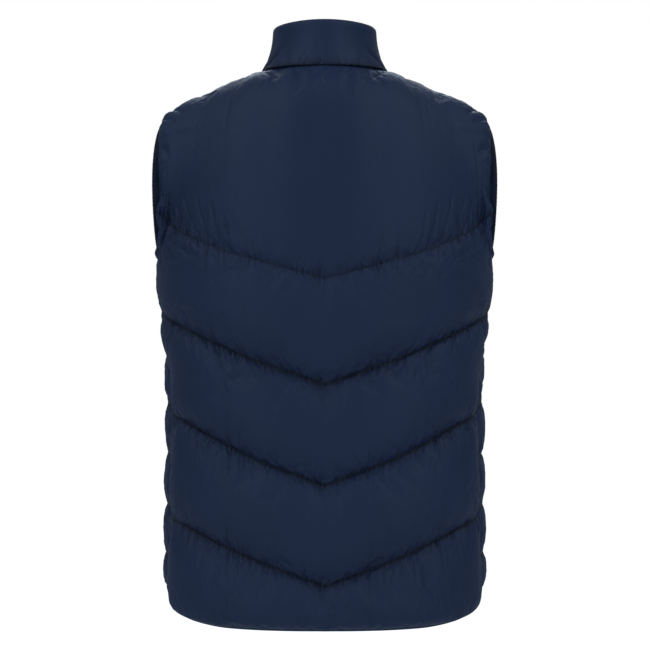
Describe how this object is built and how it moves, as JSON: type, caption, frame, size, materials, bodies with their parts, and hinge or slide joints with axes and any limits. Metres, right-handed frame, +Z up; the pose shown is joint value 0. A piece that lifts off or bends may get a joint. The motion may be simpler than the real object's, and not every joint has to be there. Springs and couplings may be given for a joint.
{
  "type": "quilted vest",
  "caption": "Padded body warmer with a stand collar, chevron-quilted back, quilted zip front, bound armholes and a dropped back hem, filled out as worn.",
  "frame": {"origin": "midway between the neck ends of the two shoulder seams, where the garment bears on the wearer's shoulders", "axes": "+X towards the wearer's left, +Y towards the back, +Z up"},
  "size_m": [0.4238, 0.289, 0.741],
  "materials": {
    "shell_cloth": "semi-matt navy nylon, padded and quilted",
    "binding": "matt dark navy elastic binding",
    "zip_tape": "matt navy woven zip tape with moulded teeth",
    "zip_metal": "dark lacquered zip slider and pull tab"
  },
  "bodies": {
    "vest": {"back_panel": "shell_cloth", "back_yoke": "shell_cloth", "collar": "shell_cloth", "front_left": "shell_cloth", "front_right": "shell_cloth", "armhole_binding_left": "binding", "armhole_binding_right": "binding", "zip_tape_left": "zip_tape", "zip_tape_right": "zip_tape", "zip_slider": "zip_metal"},
    "pull_tab": {"zip_pull": "zip_metal"}
  },
  "joints": [
    {"name": "pull_tab_swing", "type": "hinge", "parent": "vest", "child": "pull_tab", "pos_m": [0, -0.08992, -0.03258], "axis": [-1, 0, 0], "range_deg": [0, 150]}
  ]
}
